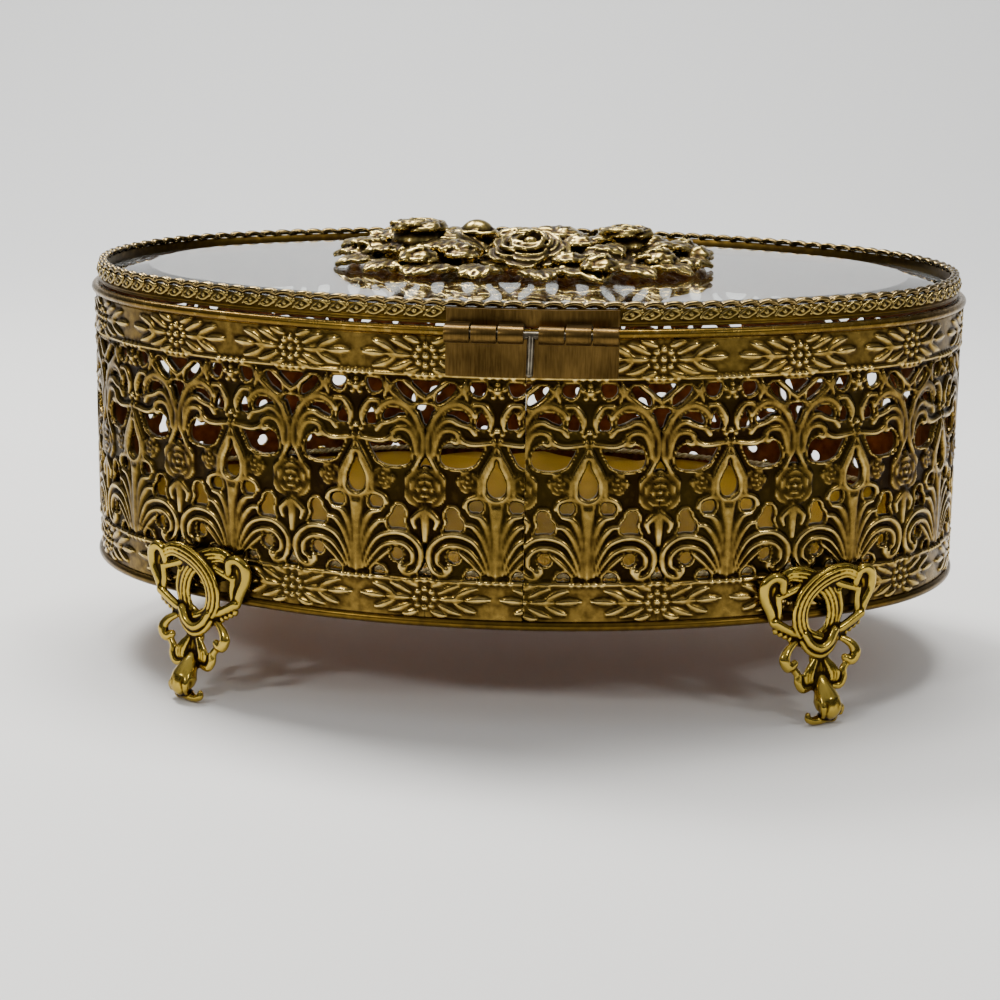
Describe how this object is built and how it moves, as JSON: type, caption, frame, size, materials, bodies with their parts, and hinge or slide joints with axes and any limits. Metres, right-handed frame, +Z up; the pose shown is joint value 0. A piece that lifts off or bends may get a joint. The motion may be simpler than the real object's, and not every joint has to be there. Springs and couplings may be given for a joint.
{
  "type": "oval trinket box",
  "caption": "Oval vanity casket with a pierced gilt filigree wall, cast feet, padded lining and a hinged bevelled glass lid that carries a spray of cast roses.",
  "frame": {"origin": "on the floor under the middle of the closed casket with its hinge pin", "axes": "+Z up, +X along the length, the hinge on the -Y side"},
  "size_m": [0.19, 0.1346, 0.0954],
  "materials": {
    "gilt_filigree": "pierced and pressed brass sheet with an antique gilt finish, dark in the recesses and bright on the high points",
    "gilt_rim": "rolled brass with a worn antique gilt finish",
    "cast_gilt": "cast metal with an antique gilt finish and dark recesses",
    "hinge_brass": "dull brushed brass with fine straight scratches",
    "clear_glass": "clear polished glass with a bevelled edge",
    "gold_satin": "mustard gold satin with a soft sheen over a thick pad",
    "trim_cord": "pale gold twisted cord",
    "lining_board": "stiff covered board",
    "fibre_washer": "dark fibre"
  },
  "bodies": {
    "box": {"filigree_wall": "gilt_filigree", "top_rim": "gilt_rim", "base_rim": "gilt_rim", "floor_plate": "hinge_brass", "lining_board": "lining_board", "lining_pad": "gold_satin", "pad_trim_cord": "trim_cord", "foot_rear_left": "cast_gilt", "foot_rear_right": "cast_gilt", "foot_front_left": "cast_gilt", "foot_front_right": "cast_gilt", "foot_rivets": "hinge_brass", "hinge_lower_leaf": "hinge_brass", "hinge_pin": "hinge_brass"},
    "lid": {"hinge_upper_leaf": "hinge_brass", "lid_frame": "gilt_filigree", "lid_bead_line": "gilt_rim", "lid_gallery": "gilt_rim", "glass_panel": "clear_glass", "ornament_leaf_base": "cast_gilt", "rose_middle": "cast_gilt", "rose_left": "cast_gilt", "rose_right": "cast_gilt", "rose_bud": "cast_gilt", "rosettes_left": "cast_gilt", "rosettes_right": "cast_gilt", "ornament_studs": "hinge_brass", "ornament_washers": "fibre_washer", "ornament_nuts": "hinge_brass"}
  },
  "joints": [
    {"name": "lid_hinge", "type": "hinge", "parent": "box", "child": "lid", "pos_m": [0.00575, -0.06292, 0.0801], "axis": [1, 0, 0], "range_deg": [0, 105]}
  ]
}
